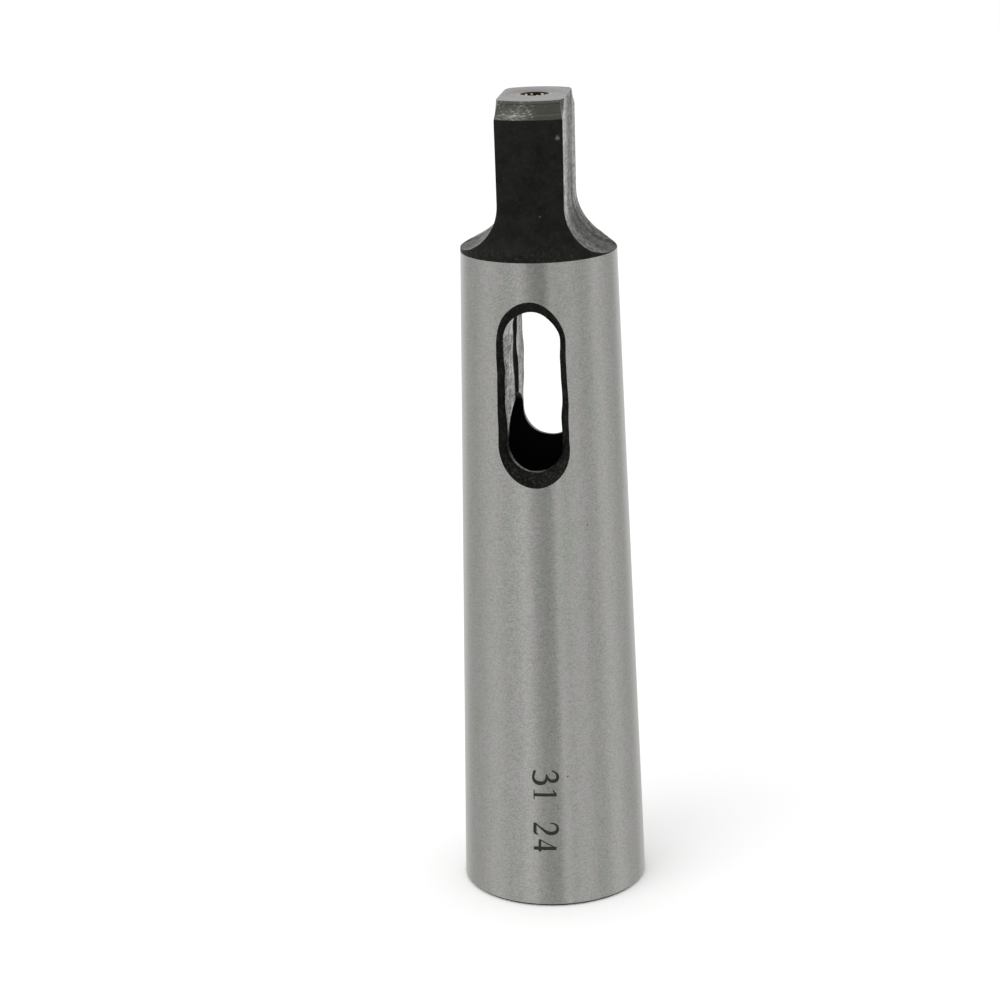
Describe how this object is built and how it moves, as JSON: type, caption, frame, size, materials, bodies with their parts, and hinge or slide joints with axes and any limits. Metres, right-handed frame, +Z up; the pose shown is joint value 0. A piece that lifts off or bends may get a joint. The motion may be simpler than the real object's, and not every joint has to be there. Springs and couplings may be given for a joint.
{
  "type": "morse taper reduction sleeve",
  "caption": "Steel reduction sleeve: ground taper outside, taper socket inside, a drift slot through both walls and a flat tang at its small end.",
  "frame": {"origin": "centre of the socket's mouth, on the large end's flat face", "axes": "+Z up the sleeve's axis towards the tang, X square to the tang's flats, Y through the drift slot; the pictured front faces -Y"},
  "size_m": [0.0324, 0.0324, 0.14],
  "materials": {
    "hardened_steel": "ground bright taper, black heat-treated shoulder, neck and slot edges, milled bright tang flats"
  },
  "bodies": {
    "root": {"sleeve": "hardened_steel"}
  },
  "joints": []
}
